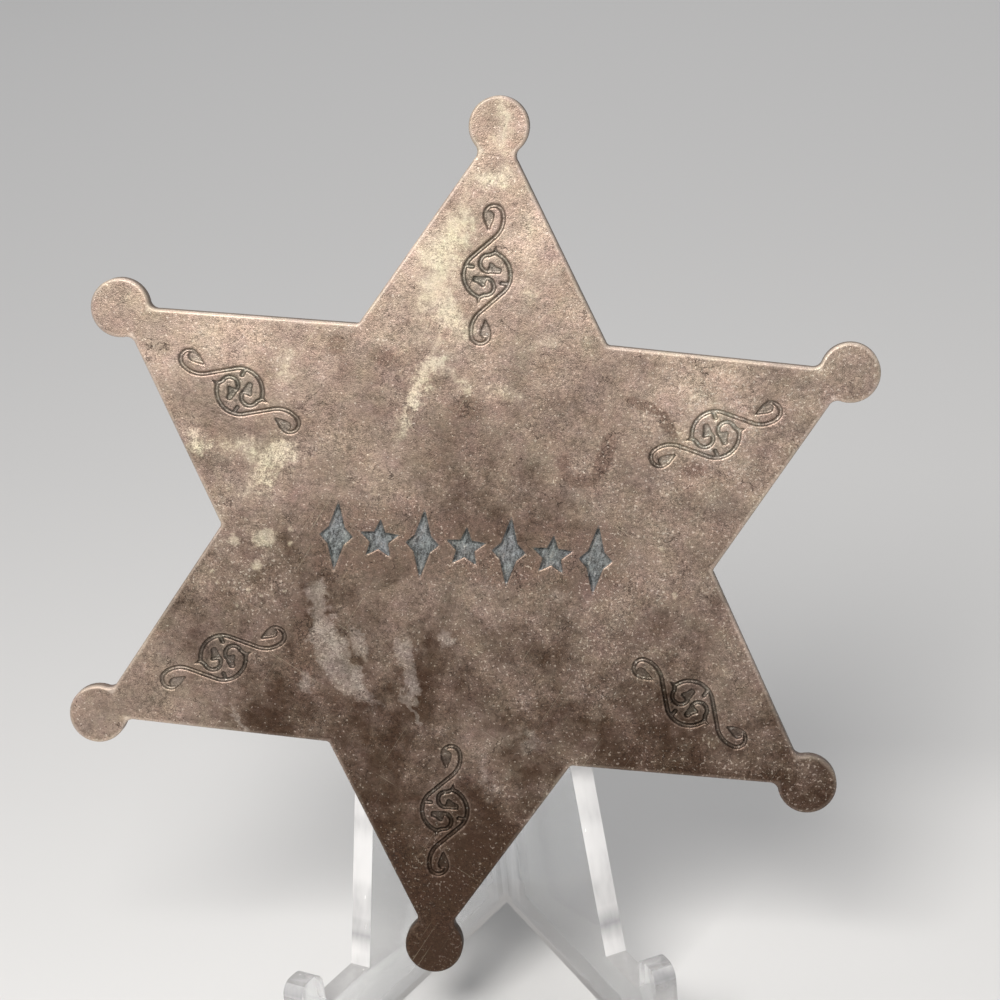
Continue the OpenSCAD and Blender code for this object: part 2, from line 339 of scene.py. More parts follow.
class StageSettings(bpy.types.PropertyGroup):
    """The camera, the lights and the floor."""

    camera_place: bpy.props.FloatVectorProperty(
        name="Camera place", description="Camera's place from the middle of the star's face",
        default=(23.63 * MM, -205.21 * MM, 86.44 * MM), subtype="TRANSLATION", precision=5)
    camera_heading: bpy.props.FloatProperty(
        name="Camera heading",
        description="Turn of the camera's aim from straight ahead, to the left",
        default=math.radians(5.633), subtype="ANGLE")
    camera_dip: bpy.props.FloatProperty(
        name="Camera dip", description="How far the camera looks down",
        default=math.radians(21.737), subtype="ANGLE")
    camera_roll: bpy.props.FloatProperty(
        name="Camera roll", description="Turn of the camera about its own aim",
        default=math.radians(-5.652), subtype="ANGLE")
    lens: bpy.props.FloatProperty(
        name="Lens", description="Focal length on a sensor 36 mm wide",
        default=93.6, subtype="DISTANCE_CAMERA")
    window_place: bpy.props.FloatVectorProperty(
        name="Window place", description="Place of the front light from the middle of the face",
        default=(-0.05, -0.165, 0.17), subtype="TRANSLATION", precision=3)
    window_aim: bpy.props.FloatVectorProperty(
        name="Window aim", description="Where the front light points, from the same middle",
        default=(-0.01, 0.0, 0.03), subtype="TRANSLATION", precision=3)
    window_size: bpy.props.FloatProperty(
        name="Window size", description="Side of the front light", default=0.12, unit="LENGTH")
    window_power: bpy.props.FloatProperty(
        name="Window power", description="Power of the front light", default=0.8, unit="POWER")
    ceiling_place: bpy.props.FloatVectorProperty(
        name="Ceiling place", description="Place of the broad light above and behind",
        default=(0.0, 0.45, 0.75), subtype="TRANSLATION", precision=3)
    ceiling_size: bpy.props.FloatProperty(
        name="Ceiling size", description="Side of the light above", default=0.8, unit="LENGTH")
    ceiling_power: bpy.props.FloatProperty(
        name="Ceiling power", description="Power of the light above", default=4.2, unit="POWER")
    floor_radius: bpy.props.FloatProperty(
        name="Floor radius", description="Radius of the round floor", default=1.4, unit="LENGTH")
    floor_colour: bpy.props.FloatVectorProperty(
        name="Floor colour", description="Colour of the plain floor",
        default=(0.62, 0.61, 0.60), subtype="COLOR")
    sky: bpy.props.FloatVectorProperty(
        name="Room light", description="Colour of the light from all round",
        default=(0.80, 0.83, 0.88), subtype="COLOR")
    sky_strength: bpy.props.FloatProperty(
        name="Room light strength", description="Strength of the light from all round",
        default=0.22)


def pick_only(piece):
    """Selects one object alone and makes it the active one."""
    bpy.ops.object.select_all(action="DESELECT")
    piece.select_set(True)
    bpy.context.view_layer.objects.active = piece


def select_in(piece, kind, test):
    """Selects only those vertices, edges or faces that pass a test, and stays in edit mode."""
    bpy.ops.object.mode_set(mode="EDIT")
    bpy.ops.mesh.select_mode(type={"vertices": "VERT", "edges": "EDGE", "polygons": "FACE"}[kind])
    bpy.ops.mesh.select_all(action="DESELECT")
    bpy.ops.object.mode_set(mode="OBJECT")
    for part in getattr(piece.data, kind):
        part.select = bool(test(part))
    bpy.ops.object.mode_set(mode="EDIT")


def merged_copy(node, name):
    """A copy of a CAD node's mesh as a new piece, with its loose triangles merged."""
    piece = bpy.data.objects.new(name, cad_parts[node].data.copy())
    bpy.context.scene.collection.objects.link(piece)
    piece.data.name = name
    piece.data.materials.clear()
    pick_only(piece)
    if piece.data.has_custom_normals:
        bpy.ops.mesh.customdata_custom_splitnormals_clear()
    bpy.ops.object.mode_set(mode="EDIT")
    bpy.ops.mesh.select_all(action="SELECT")
    bpy.ops.mesh.remove_doubles(threshold=0.002 * MM)
    bpy.ops.mesh.dissolve_limited(angle_limit=math.radians(0.5))
    bpy.ops.object.mode_set(mode="OBJECT")
    return piece


def soften(piece, radius, segments):
    """Rounds the piece's sharp edges."""
    pick_only(piece)
    bevel = piece.modifiers.new("Round", "BEVEL")
    bevel.width = radius
    bevel.segments = segments
    bevel.limit_method = "ANGLE"
    bevel.angle_limit = math.radians(35)
    bevel.harden_normals = False
    bpy.ops.object.modifier_apply(modifier=bevel.name)
    bpy.ops.object.shade_smooth_by_angle(angle=math.radians(30))


def face_place(settings):
    """The star face's own frame: x to the right, y up its first point, z out of the face."""
    lowest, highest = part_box("star_plate")
    upright = Matrix.Rotation(math.pi / 2 - settings.lean, 4, "X")
    turn = upright @ Matrix.Rotation(-settings.star_turn, 4, "Z")
    outwards = turn.to_3x3() @ Vector((0, 0, 1))
    centre = (lowest + highest) / 2 + outwards * settings.plate_thickness / 2
    return Matrix.Translation(centre) @ turn


def eased(value):
    """Smooth step from 0 to 1."""
    value = np.clip(value, 0, 1)
    return value * value * (3 - 2 * value)


def distance_to_arc(x, y, arc):
    """Distance from points to part of a circle."""
    middle_x, middle_y, radius, first, last = arc
    angle = np.degrees(np.arctan2(y - middle_y, x - middle_x)) - (first + last) / 2
    beside = np.abs((angle + 180) % 360 - 180) <= (last - first) / 2
    ring = np.abs(np.hypot(x - middle_x, y - middle_y) - radius)
    ends = [np.hypot(x - middle_x - radius * math.cos(math.radians(a)),
                     y - middle_y - radius * math.sin(math.radians(a))) for a in (first, last)]
    return np.where(beside, ring, np.minimum(*ends))


def distance_to_line(x, y, line):
    """Distance from points to a straight line between two ends."""
    start_x, start_y, end_x, end_y = line
    run_x, run_y = end_x - start_x, end_y - start_y
    share = ((x - start_x) * run_x + (y - start_y) * run_y) / (run_x ** 2 + run_y ** 2)
    share = np.clip(share, 0, 1)
    return np.hypot(x - start_x - share * run_x, y - start_y - share * run_y)


def depth_into_area(x, y, outline):
    """Distance from points to a closed outline, above zero inside it."""
    inside = np.zeros(x.shape, bool)
    nearest = np.full(x.shape, np.inf)
    for (ax, ay), (bx, by) in zip(outline, outline[1:] + outline[:1]):
        nearest = np.minimum(nearest, distance_to_line(x, y, (ax, ay, bx, by)))
        if ay != by:
            inside ^= ((ay > y) != (by > y)) & (x < (bx - ax) * (y - ay) / (by - ay) + ax)
    return np.where(inside, nearest, -nearest)


def scroll_inside(x, y, settings):
    """How far points lie inside the grooves and hollows of a scroll."""
    unit = settings.scroll_length / 100
    groove = np.full(x.shape, np.inf)
    area = np.full(x.shape, -np.inf)
    for turned_x, turned_y in ((x / unit, y / unit), (-x / unit, -y / unit)):
        for arc in SCROLL_ARCS:
            groove = np.minimum(groove, distance_to_arc(turned_x, turned_y, arc))
        for line in SCROLL_LINES:
            groove = np.minimum(groove, distance_to_line(turned_x, turned_y, line))
        for outline in (SCROLL_EYE, SCROLL_LEAF, SCROLL_SPUR):
            area = np.maximum(area, depth_into_area(turned_x, turned_y, outline))
    return np.maximum(settings.groove_width / 2 - groove * unit, area * unit)


def lozenge_outline(settings):
    """A tall lozenge with hollow sides."""
    waist = 0.24
    tall, wide = settings.lozenge_height / 2, settings.lozenge_width / 2
    near_x, near_y = 2 * waist * wide, waist * tall
    return [(0, tall), (near_x, near_y), (wide, 0), (near_x, -near_y),
            (0, -tall), (-near_x, -near_y), (-wide, 0), (-near_x, near_y)]


def small_star_outline(settings):
    """A small five-pointed star."""
    outer = settings.small_star_diameter / 2
    inner = 0.45 * outer
    corners = [(inner if i % 2 else outer, i * math.pi / 5) for i in range(10)]
    return [(radius * math.sin(angle), radius * math.cos(angle)) for radius, angle in corners]


def mark_inside(x, y, settings):
    """How far points lie inside the outlines of the marks in the middle row."""
    outlines = [lozenge_outline(settings), small_star_outline(settings)]
    deepest = np.full(x.shape, -np.inf)
    for i in range(settings.mark_count):
        middle = (i - (settings.mark_count - 1) / 2) * settings.mark_pitch
        deepest = np.maximum(deepest, depth_into_area(x - middle, y, outlines[i % 2]))
    return deepest


def set_on_outline(x, y, cell, settings, inside):
    """Moves the grid's points nearest to an outline onto it, so that it comes out clean."""
    depth = inside(x, y, settings)
    slope_x = (inside(x + NEAR, y, settings) - depth) / NEAR
    slope_y = (inside(x, y + NEAR, settings) - depth) / NEAR
    moved = np.where(np.abs(depth) < cell / 2, depth, 0)
    return x - moved * slope_x, y - moved * slope_y


def relief_patch(name, width, height, cell, settings, inside, streakiness, greyness):
    """A fine grid in the face's plane, struck down inside an outline to a streaky floor."""
    across, along = round(width / cell), round(height / cell)
    bpy.ops.object.select_all(action="DESELECT")
    bpy.ops.mesh.primitive_grid_add(x_subdivisions=across, y_subdivisions=along, size=1)
    patch = bpy.context.active_object
    patch.name = name
    mesh = patch.data
    places = np.empty(len(mesh.vertices) * 3)
    mesh.vertices.foreach_get("co", places)
    places = places.reshape(-1, 3) * (width, height, 1)
    x, y = set_on_outline(places[:, 0].copy(), places[:, 1].copy(), cell, settings, inside)
    struck = inside(x, y, settings)
    wall = eased((struck + WALL_OUTSIDE) / WALL_WIDTH)
    streaks = np.array([noise.noise(Vector((u * 4.5, v * 1.1, 0)) / MM) for u, v in zip(x, y)])
    pitted = np.array([noise.noise(Vector((u, v, 0)) * 5.5 / MM) for u, v in zip(x, y)])
    depth = wall * (0.9 + streakiness * (0.22 * streaks + 0.12 * pitted))
    mesh.vertices.foreach_set("co", np.column_stack((x, y, -depth * settings.stamp_depth)).ravel())
    level = np.clip(struck / MM + OUTLINE_LEVEL, 0, 1)
    for title, values in (("struck", level), ("greyness", wall * greyness)):
        mesh.attributes.new(title, "FLOAT", "POINT").data.foreach_set("value", values)
    mesh.polygons.foreach_set("use_smooth", [True] * len(mesh.polygons))
    mesh.update()
    return patch


def plain_plate(settings, place):
    """The star's plate unstamped, in the face's frame, with rounded rims and an open front."""
    plate = merged_copy("star_plate", "star_badge")
    plate.data.transform(place.inverted())
    thickness = settings.plate_thickness
    select_in(plate, "polygons",
              lambda face: face.center.z > NEAR - thickness or face.normal.z > -0.9)
    bpy.ops.mesh.delete(type="FACE")
    bpy.ops.mesh.select_all(action="SELECT")
    bpy.ops.mesh.dissolve_limited(angle_limit=math.radians(0.1))
    bpy.ops.mesh.select_all(action="SELECT")
    bpy.ops.mesh.extrude_region_move(TRANSFORM_OT_translate={"value": (0, 0, thickness)})
    bpy.ops.mesh.select_all(action="SELECT")
    bpy.ops.mesh.normals_make_consistent(inside=False)
    bpy.ops.object.mode_set(mode="OBJECT")
    rims = ((0, settings.rim_round, 6), (-thickness, settings.back_round, 4))
    for level, radius, segments in rims:
        height = [v.co.z for v in plate.data.vertices]
        select_in(plate, "edges",
                  lambda edge: all(abs(height[v] - level) < NEAR for v in edge.vertices))
        bpy.ops.mesh.bevel(offset=radius, segments=segments, profile=0.5, affect="EDGES",
                           clamp_overlap=False)
        bpy.ops.object.mode_set(mode="OBJECT")
    for face in plate.data.polygons:
        face.use_smooth = abs(face.normal.z) < 0.999
    select_in(plate, "polygons", lambda face: face.normal.z > 0.999 and face.center.z > -NEAR)
    bpy.ops.mesh.delete(type="ONLY_FACE")
    bpy.ops.object.mode_set(mode="OBJECT")
    return plate


def copied_scrolls(first, settings):
    """Copies a scroll for each of the star's points and moves each one to its place."""
    scrolls = [first]
    for i in range(1, POINTS):
        scroll = bpy.data.objects.new(f"scroll_{i}", first.data.copy())
        bpy.context.scene.collection.objects.link(scroll)
        scrolls.append(scroll)
    outwards = Matrix.Translation((0, settings.scroll_distance, 0))
    for i, scroll in enumerate(scrolls):
        turn = Matrix.Rotation(i * STEP, 4, "Z")
        way = -1 if i == settings.mirrored_scroll else 1
        scroll.data.transform(turn @ outwards @ Matrix.Diagonal((way, 1, 1, 1)))
    return scrolls


def stamped_plate(settings, place):
    """The whole star plate, with the scrolls and the middle row let into its front."""
    plate = plain_plate(settings, place)
    length = settings.scroll_length
    first = relief_patch("scroll", 0.4 * length, length + 0.5 * MM, SCROLL_CELL, settings,
                         scroll_inside, 0.3, 0)
    margin = 0.8 * MM
    row_width = (settings.mark_count - 1) * settings.mark_pitch + settings.lozenge_width + margin
    row = relief_patch("mark_row", row_width, settings.lozenge_height + margin, MARK_CELL, settings,
                       mark_inside, 1.0, 1)
    scrolls = copied_scrolls(first, settings)
    pick_only(plate)
    for patch in [row] + scrolls:
        patch.select_set(True)
    bpy.ops.object.join()
    bpy.ops.object.mode_set(mode="EDIT")
    bpy.ops.mesh.select_mode(type="EDGE")
    bpy.ops.mesh.select_all(action="DESELECT")
    bpy.ops.mesh.select_non_manifold(extend=False)
    bpy.ops.mesh.fill(use_beauty=True)
    bpy.ops.mesh.faces_shade_flat()
    bpy.ops.mesh.select_all(action="SELECT")
    bpy.ops.mesh.normals_make_consistent(inside=False)
    bpy.ops.object.mode_set(mode="OBJECT")
    plate.data.transform(place)
    return plate


class Value:
    """A shader value, on which Python's operators add Math nodes."""

    def __init__(self, finish, socket):
        self.finish = finish
        self.socket = socket

    def math(self, operation, *others):
        operands = dict(enumerate((self,) + others))
        return self.finish.node("Math", {"operation": operation}, operands)

    def __add__(self, other):
        return self.math("ADD", other)

    __radd__ = __add__

    def __sub__(self, other):
        return self.math("SUBTRACT", other)

    def __rsub__(self, other):
        return self.finish.node("Math", {"operation": "SUBTRACT"}, {0: other, 1: self})

    def __mul__(self, other):
        return self.math("MULTIPLY", other)

    __rmul__ = __mul__

    def __truediv__(self, other):
        return self.math("DIVIDE", other)

    def __abs__(self):
        return self.math("ABSOLUTE")

    def above(self, low, high):
        """Eased from 0 at one value to 1 at another."""
        ends = (low, high, 0.0, 1.0) if low < high else (high, low, 1.0, 0.0)
        values = dict(enumerate((self,) + ends))
        return self.finish.node("MapRange", {"interpolation_type": "SMOOTHSTEP"}, values)


class Finish:
    """A material in the making."""

    def __init__(self, name):
        self.material = bpy.data.materials.new(name)
        self.material.use_nodes = True
        self.tree = self.material.node_tree
        self.tree.nodes.clear()

    def node(self, kind, settings=None, values=None, output=0):
        """Adds a node with its settings and its sockets' values or links, and returns an output."""
        node = self.tree.nodes.new("ShaderNode" + kind)
        for name, setting in (settings or {}).items():
            setattr(node, name, setting)
        for name, value in (values or {}).items():
            if isinstance(value, Value):
                self.tree.links.new(value.socket, node.inputs[name])
            else:
                node.inputs[name].default_value = value
        return Value(self, node.outputs[output])

    def vector(self, operation, *operands, output=0):
        """Maths on vectors or colours."""
        return self.node("VectorMath", {"operation": operation}, dict(enumerate(operands)), output)

    def placed(self, vector, location=(0, 0, 0), rotation=(0, 0, 0), scale=(1, 1, 1)):
        """Coordinates as seen from a place, turned and scaled."""
        values = {"Vector": vector, "Location": location, "Rotation": rotation, "Scale": scale}
        return self.node("Mapping", {"vector_type": "TEXTURE"}, values)

    def in_mm(self, place=Matrix()):
        """The object's own coordinates in mm, as seen from a place."""
        metres = self.node("TexCoord", output="Object")
        return self.placed(metres, place.translation, place.to_euler(), (MM, MM, MM))

    def noise(self, vector, scale, detail=4.0, roughness=0.55, output="Fac"):
        """Noise, where scale is the number of lumps to a unit."""
        values = {"Vector": vector, "Scale": scale, "Detail": detail, "Roughness": roughness}
        return self.node("TexNoise", {"noise_dimensions": "3D"}, values, output)

    def attribute(self, name):
        """A number that the mesh itself carries."""
        return self.node("Attribute", {"attribute_name": name}, output="Fac")

    def blend(self, mask, first, second):
        """One colour over another by a mask."""
        values = {0: mask, 6: colour(first), 7: colour(second)}
        return self.node("Mix", {"data_type": "RGBA"}, values, 2)

    def scaled(self, tint, factor):
        """A colour made lighter or darker by a factor, or a vector made longer or shorter."""
        return self.node("VectorMath", {"operation": "SCALE"}, {0: tint, "Scale": factor})

    def split(self, vector):
        """The three parts of a vector."""
        parts = self.node("SeparateXYZ", values={0: vector}).socket.node.outputs
        return [Value(self, part) for part in parts]

    def bumped(self, height, depth):
        """The normal of a bumped surface, with the depth in mm."""
        return self.node("Bump", values={"Strength": 1.0, "Distance": depth * MM, "Height": height})

    def scratches(self, point, turn, width, rareness=0.66):
        """Straight fine scratches along one direction, as a mask."""
        seen = self.placed(point, rotation=(0, 0, math.radians(turn)), scale=(14.0, width, 14.0))
        return self.noise(seen, 1.0, 3, 0.6).above(rareness, rareness + 0.08)

    def shifted(self, vector, wander, amount):
        """Coordinates pushed about by the colours of a noise."""
        push = self.scaled(self.vector("SUBTRACT", wander, (0.5, 0.5, 0.5)), amount)
        return self.vector("ADD", vector, push)

    def finished(self, shader):
        """Links a shader to the material's output and returns the material."""
        end = self.tree.nodes.new("ShaderNodeOutputMaterial")
        self.tree.links.new(shader.socket, end.inputs["Surface"])
        return self.material


def colour(value):
    """A colour property with its alpha, or a link as it is."""
    return value if isinstance(value, Value) else (*value, 1.0)


def with_mark(field, distance, strength):
    """Adds one mark to a field, by the distance from it in half widths."""
    mark = (MARK_REACH - distance).math("MAXIMUM", 0.0) * strength
    return mark if field is None else field + mark


def stain_field(finish, place, stains):
    """How strongly a point lies in any of the stains."""
    field = None
    for x, y, half_width, half_height, turn, strength in stains:
        sizes = (half_width, half_height, ANY_DEPTH)
        seen = finish.placed(place, (x, y, 0), (0, 0, math.radians(turn)), sizes)
        field = with_mark(field, finish.vector("LENGTH", seen, output="Value"), strength)
    return field


def round_field(finish, place, spots):
    """How strongly a point lies in any of the round spots."""
    field = None
    for x, y, radius, strength in spots:
        distance = finish.vector("DISTANCE", place, (x, y, 0), output="Value")
        field = with_mark(field, distance / radius, strength)
    return field


def point_place(finish, place):
    """Place in mm along and across the nearest of the star's points."""
    x, y, _ = finish.split(place)
    angle = x.math("ARCTAN2", y)
    folded = angle - (angle / STEP).math("ROUND") * STEP
    radius = (x * x + y * y).math("SQRT")
    return radius * folded.math("COSINE"), abs(radius * folded.math("SINE"))


def rim_distance(along, across, settings):
    """Distance in mm from a point of the face in to the nearest edge of the star."""
    notch_along = settings.notch_radius * math.cos(STEP / 2)
    notch_across = settings.notch_radius * math.sin(STEP / 2)
    slope = math.atan2(notch_across, settings.point_radius - notch_along)
    side = (settings.point_radius / MM - along) * math.sin(slope) - across * math.cos(slope)
    past = along - (settings.point_radius - settings.disc_inset) / MM
    disc = settings.disc_diameter / 2 / MM - (past * past + across * across).math("SQRT")
    return side.math("MAXIMUM", disc)


class FaceFields:
    """Places on the star's face, in mm, and the noises that all its colours share."""

    def __init__(self, finish, settings, place):
        point = finish.in_mm(place)
        self.point = point
        self.across, self.height, self.out = finish.split(point)
        self.front = self.out.above(-1.3, -0.9)
        self.drift = finish.noise(point, 0.45, 5, 0.65, "Color")
        self.wander = finish.shifted(point, self.drift, 4.0)
        self.ripple = finish.shifted(point, finish.noise(point, 2.0, 3, 0.65, "Color"), 0.7)
        self.cloud = finish.noise(self.wander, 0.11, 4, 0.55) - 0.5
        self.mottle = finish.noise(point, 0.5, 6, 0.7) - 0.5
        self.grain = finish.noise(point, 2.4, 4, 0.8) - 0.5
        self.fine = finish.noise(point, 7.5, 2, 0.8) - 0.5
        self.along, self.aside = point_place(finish, point)
        self.inwards = rim_distance(self.along, self.aside, settings)


def brown_ground(finish, face, settings):
    """The metal's brown, darker below and paler above and to the left, partly its own patina and
    partly painted light from above left, returned with that mask and its rust.
    """
    # Painted light: the height and sideways terms make the brown paler above and to the left, where
    # the light falls; the noises are the metal's own mottling.
    tone_and_light = face.height * 0.015 - face.across * 0.001 + face.cloud * 1.2 + face.mottle * 0.8 + 0.45
    tone_and_light = tone_and_light + round_field(finish, face.wander, TONES)
    # Dark bronze below and pale bronze above follow this mask, so they are partly painted shade and
    # partly painted light.
    ground = finish.blend(tone_and_light.above(0.0, 0.6), settings.dark_bronze, settings.bronze)
    ground = finish.blend(tone_and_light.above(0.45, 1.25), ground, settings.pale_bronze)
    warm = finish.noise(face.wander, 0.24, 4, 0.6) - 0.5 + face.grain * 0.3
    ground = finish.blend(warm.above(0.03, 0.2) * 0.35, ground, settings.red_brown)
    row = abs(face.height).above(4.5, 2.5) * abs(face.across).above(15.5, 12.5)
    rust = stain_field(finish, face.ripple, BROWN_STAINS) + row * 0.65
    rusty = (rust + face.mottle * 1.6 + face.grain).above(0.3, 0.9) * face.front
    return finish.blend(rusty * 0.68, ground, settings.red_brown), tone_and_light, rust


def powdery_stains(finish, face, settings, ground):
    """Powdery stains, faint at first and then broken into grains, crisp spots, and their mask."""
    powder = face.mottle * 2.2 + face.grain * 2.6 + face.fine * 1.6
    field = stain_field(finish, face.wander, CREAM_STAINS) + face.mottle * 1.2
    cream = (field.above(0.1, 1.3) * 0.42 + (field + powder).above(0.6, 1.6) * 0.5) * face.front
    spots = round_field(finish, face.ripple, SPOTS) + face.grain * 1.2
    cream = cream + spots.above(0.4, 1.2) * face.front * 0.5
    ground = finish.blend(cream, ground, settings.cream)
    field = stain_field(finish, face.wander, PALE_STAINS) + face.mottle * 1.6
    pale = (field.above(0.35, 0.85) * 0.32 + (field + powder).above(0.8, 1.9) * 0.31) * face.front
    return finish.blend(pale, ground, settings.pale_grey), cream + pale


def specks_and_cracks(finish, face, settings, ground, tone_and_light, rust):
    """Grit, light specks, dark pits and short cracks, with the pits' mask."""
    rough = finish.noise(face.point, 0.2, 3, 0.6).above(0.4, 0.62) * 0.6 + 0.5
    rough = rough - face.height.above(30.0, 36.0) * 0.35
    grit = (face.grain * 2.2 + face.fine * 2.2) * rough + 1.0
    ground = finish.scaled(ground, grit.math("MAXIMUM", 0.3))

    crowd = face.mottle * 0.7 + face.cloud * 0.4 + face.across * 0.002
    crowd = crowd + face.inwards.above(2.5, 0.3) * 0.06
    crowd = crowd + face.height.above(-12.0, -32.0) * 0.03
    crowd = crowd + round_field(finish, face.point, GRITTY)
    coarse = finish.noise(face.point, 3.9, 1, 0.5) + crowd * 0.35
    small = face.fine + crowd * 0.3 + face.grain * 0.4
    specks = coarse.above(0.665, 0.715) * 0.72 + small.above(0.16, 0.25) * 0.42
    # The light specks show more strongly where the painted light is brighter.
    ground = finish.blend(specks * (tone_and_light * 0.6 + 0.4), ground, settings.grit)

    pits = finish.noise(face.point, 4.0, 2, 0.6).above(0.36, 0.30)
    pits = pits * (face.mottle * 2.0 - face.height * 0.02).above(-0.3, 0.4)
    bent = finish.shifted(face.point, finish.noise(face.point, 1.2, 3, 0.6, "Color"), 2.2)
    net = finish.node("TexVoronoi", {"feature": "DISTANCE_TO_EDGE"},
                      {"Vector": bent, "Scale": 0.33}, "Distance")
    broken = finish.noise(face.point, 0.3, 3, 0.6) - 0.48 + face.grain * 0.5 + rust * 0.08
    cracks = net.above(0.030, 0.006) * broken.above(0.08, 0.15)
    dark = (pits + cracks).math("MINIMUM", 1.0) * 0.75
    return finish.blend(dark, ground, settings.pit), pits


def scratches_and_rim(finish, face, settings, ground, tone_and_light):
    """Long fine scratches, a rim rubbed bright whose brightness is partly a painted highlight
    following the painted light, and a dark narrow side, with the rim's mask.
    """
    scratches = finish.scratches(face.point, 62, 0.16) + finish.scratches(face.point, -28, 0.2)
    hairlines = finish.scratches(finish.shifted(face.point, face.drift, 2.0), 50, 0.12, 0.61)
    scratches = (scratches + hairlines * face.height.above(10.0, 22.0)).math("MINIMUM", 1.0)
    ground = finish.blend(scratches * 0.35, ground, settings.cream)
    rim = (face.inwards + face.mottle * 0.8).above(0.38, 0.05) * face.front
    # Painted highlight: the pale rim is stronger where the painted light above is brighter, and
    # fades on the dark lower points.
    rim_wear_and_highlight = rim * (tone_and_light * 0.5 + 0.08).math("MAXIMUM", 0.0)
    ground = finish.blend(rim_wear_and_highlight, ground, settings.grit)
    return finish.blend(face.out.above(-0.3, -0.6) * 0.6, ground, settings.dark_bronze), rim


def dirt_and_shade_in_hollows(finish, face, settings, ground):
    """Grey dirt in the scrolls and a bluer grey in the middle row, darkened by painted shade along
    the walls, with the row's mask.
    """
    past = face.along - settings.scroll_distance / MM
    ring = (past * past + face.aside * face.aside).math("SQRT").above(2.3, 1.9) * face.front
    struck = finish.attribute("struck")
    greyness = finish.attribute("greyness")
    dirty = ring * 0.3 + struck.above(0.28, 0.34) * 0.55
    ground = finish.blend(dirty, ground, finish.vector("MULTIPLY", ground, settings.dirt))
    # Painted shade: the walls just inside each outline are darkened, as shade falls there.
    foot_shade = struck.above(0.28, 0.32) * struck.above(0.4, 0.34)
    ground = finish.scaled(ground, 1.0 - foot_shade * 0.2)
    lip = struck.above(0.08, 0.2) * struck.above(0.31, 0.25)
    lip = lip * (face.grain * 3.0 + face.mottle * 2.0 + 0.6)
    ground = finish.blend(lip.math("MAXIMUM", 0.0) * 0.2, ground, settings.pale_bronze)

    drawn_out = finish.placed(face.point, rotation=(0, 0, math.radians(-8)), scale=(0.3, 1.0, 1.0))
    runs = finish.noise(drawn_out, 1.0, 3, 0.7) - 0.5
    shade = face.grain * 4.0 + face.fine * 4.0 + runs * 4.5 + 1.15
    grey = finish.scaled(settings.hollow_grey, shade.math("MAXIMUM", 0.3))
    # Painted shade: a dark line at the foot of the marks' walls, standing for their shadow.
    foot_shade = struck.above(0.34, 0.4) * struck.above(0.55, 0.44)
    grey = finish.scaled(grey, 1.0 - foot_shade * 0.35)
    worn = (runs + face.mottle * 0.6).above(0.0, 0.25)
    return finish.blend(greyness.above(0.02, 0.3) * (0.92 - worn * 0.4), ground, grey), greyness


def aged_bronze(settings, place):
    """Brown aged bronze: mottled, stained, specked, cracked and scratched, with dirty hollows;
    painted light makes it paler above and the rim bright, and painted shade darkens the hollows'
    walls.
    """
    finish = Finish("aged_bronze")
    face = FaceFields(finish, settings, place)
    ground, tone_and_light, rust = brown_ground(finish, face, settings)
    ground, powder = powdery_stains(finish, face, settings, ground)
    ground, pits = specks_and_cracks(finish, face, settings, ground, tone_and_light, rust)
    ground, rim = scratches_and_rim(finish, face, settings, ground, tone_and_light)
    ground, greyness = dirt_and_shade_in_hollows(finish, face, settings, ground)
    tinge = finish.vector("MULTIPLY_ADD", face.drift, (0.2, 0.2, 0.2), (0.9, 0.9, 0.9))
    ground = finish.vector("MULTIPLY", ground, tinge)

    dusty = (powder + greyness).math("MINIMUM", 1.0)
    roughness = face.mottle * 0.3 + face.grain * 0.5 + dusty * 0.2 + rim * 0.1 + 0.43
    metallic = dusty * -0.4 - rim * 0.3 + 0.72

    dents = finish.noise(face.point, 0.16, 2, 0.4)
    relief = dents * 2.2 + face.mottle * 0.3 + face.grain * 0.3 + face.fine * 0.18 - pits * 0.12
    shader = finish.node("BsdfPrincipled", values={
        "Base Color": ground, "Metallic": metallic, "Roughness": roughness,
        "Normal": finish.bumped(relief, 0.1)})
    return finish.finished(shader)


def pin_metal(settings):
    """Dull brass, darker in blotches and rubbed pale in specks."""
    finish = Finish("pin_metal")
    point = finish.in_mm()
    mottle = finish.noise(point, 0.6, 5, 0.65)
    grain = finish.noise(point, 4.0, 4, 0.7)
    ground = finish.blend(mottle.above(0.35, 0.65), settings.dark_bronze, settings.bronze)
    ground = finish.blend(grain.above(0.55, 0.75) * 0.5, ground, settings.pale_bronze)
    shader = finish.node("BsdfPrincipled", values={
        "Base Color": ground, "Metallic": 0.85, "Roughness": 0.36 + mottle * 0.2,
        "Normal": finish.bumped(grain, 0.03)})
    return finish.finished(shader)


def clear_plastic(settings):
    """Clear plastic with faint smears and scuffs."""
    finish = Finish("clear_plastic")
    point = finish.in_mm()
    smears = finish.noise(point, 0.25, 4, 0.6)
    drawn_up = finish.placed(point, scale=(1.0, 1.0, 6.0))
    scuffs = finish.noise(drawn_up, 2.0, 3, 0.6).above(0.62, 0.74)
    shader = finish.node("BsdfPrincipled", values={
        "Base Color": colour(settings.clear), "Roughness": 0.02 + smears * 0.04 + scuffs * 0.12,
        "Transmission Weight": 1.0, "IOR": PLASTIC_IOR, "Alpha": 0.55})
    return finish.finished(shader)


